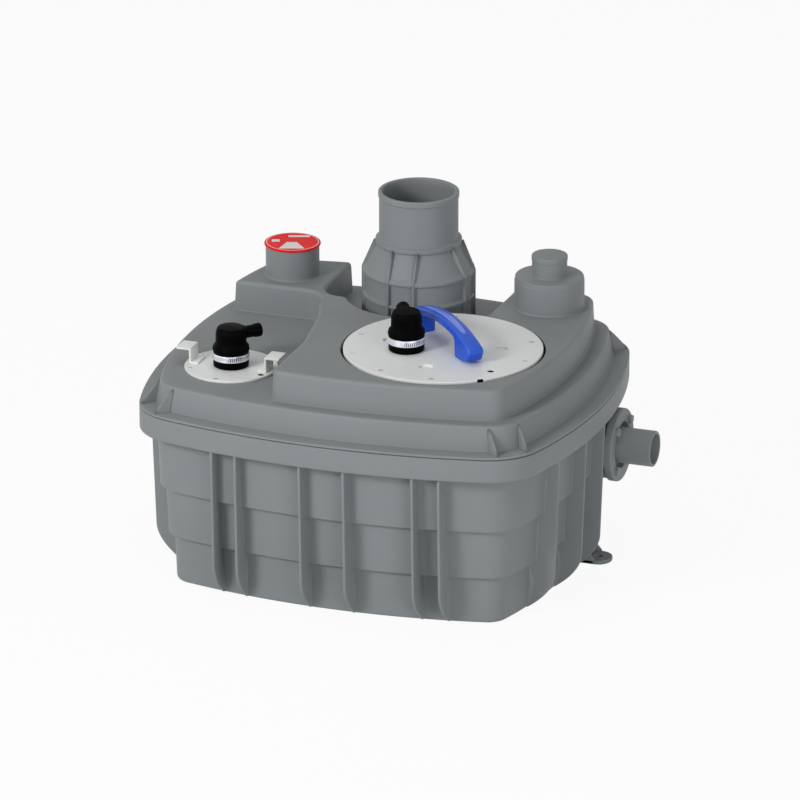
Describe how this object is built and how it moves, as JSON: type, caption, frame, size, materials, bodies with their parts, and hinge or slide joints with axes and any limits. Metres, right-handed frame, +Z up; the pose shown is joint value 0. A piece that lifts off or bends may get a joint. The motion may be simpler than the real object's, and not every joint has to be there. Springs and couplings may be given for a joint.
{
  "type": "sewage lifting station",
  "caption": "Plastic sewage lifting tank with stepped lid, inlet tower, vent, side discharge port, lift-out pump and level sensor.",
  "frame": {"origin": "centre of the tank's flat underside, on the floor", "axes": "+Z up; +X towards the discharge port, along the tank's long side; +Y towards the inlet tower at the back"},
  "size_m": [0.679, 0.565, 0.486],
  "materials": {
    "tank_grey": "moulded, satin",
    "plate_white": "moulded, satin",
    "rubber_black": "moulded",
    "cap_red": "printed top",
    "handle_blue": "moulded, satin",
    "steel": "plain",
    "cast_iron": "coated",
    "sensor_grey": "moulded",
    "copper_wire": "lacquered"
  },
  "bodies": {
    "station": {"tank": "tank_grey", "lid": "tank_grey", "inlet_tower": "tank_grey", "inlet_seal": "rubber_black", "motor_plate": "plate_white", "motor_plate_seal": "rubber_black", "motor_plate_screws": "steel", "lifting_handle": "handle_blue", "handle_screws": "steel", "motor_boot": "rubber_black", "motor_boot_clamp": "steel", "sensor_plate": "plate_white", "sensor_plate_seal": "rubber_black", "sensor_plate_screws": "steel", "left_lifting_grip": "plate_white", "right_lifting_grip": "plate_white", "sensor_boot": "rubber_black", "sensor_boot_clamp": "steel", "clamp_screws": "steel", "dip_tube": "plate_white", "level_sensor": "sensor_grey", "discharge_flange": "tank_grey", "flange_gasket": "rubber_black", "flange_bolts": "steel", "check_valve_body": "cast_iron", "hinge_pin": "steel", "riser_pipe": "tank_grey", "outlet_sleeve": "rubber_black", "pump_casing": "cast_iron", "suction_cover": "cast_iron", "suction_screws": "steel", "shaft_seal": "rubber_black", "motor_housing": "cast_iron", "housing_bolts": "steel", "lower_bearing": "steel", "upper_bearing": "steel", "stator": "steel", "stator_windings": "copper_wire", "motor_top_cover": "cast_iron", "top_cover_bolts": "steel", "hanger_columns": "steel", "column_bolts": "steel", "column_nuts": "steel"},
    "pump_rotor": {"impeller": "cast_iron", "impeller_nut": "steel", "pump_shaft": "steel", "rotor_core": "steel", "lower_bearing_inner": "steel", "upper_bearing_inner": "steel"},
    "valve_flap": {"valve_flap": "steel"},
    "vent_cap": {"vent_cap": "cap_red"}
  },
  "joints": [
    {"name": "pump_spin", "type": "hinge", "parent": "station", "child": "pump_rotor", "pos_m": [0.107, -0.0695, 0.2], "axis": [0, 0, 1], "continuous": true},
    {"name": "flap_swing", "type": "hinge", "parent": "station", "child": "valve_flap", "pos_m": [0.212, 0.0795, 0.195], "axis": [0, -1, 0], "range_deg": [0, 50]},
    {"name": "vent_cap_lift", "type": "slide", "parent": "station", "child": "vent_cap", "axis": [0, 0, 1], "range_m": [0, 0.15]}
  ]
}
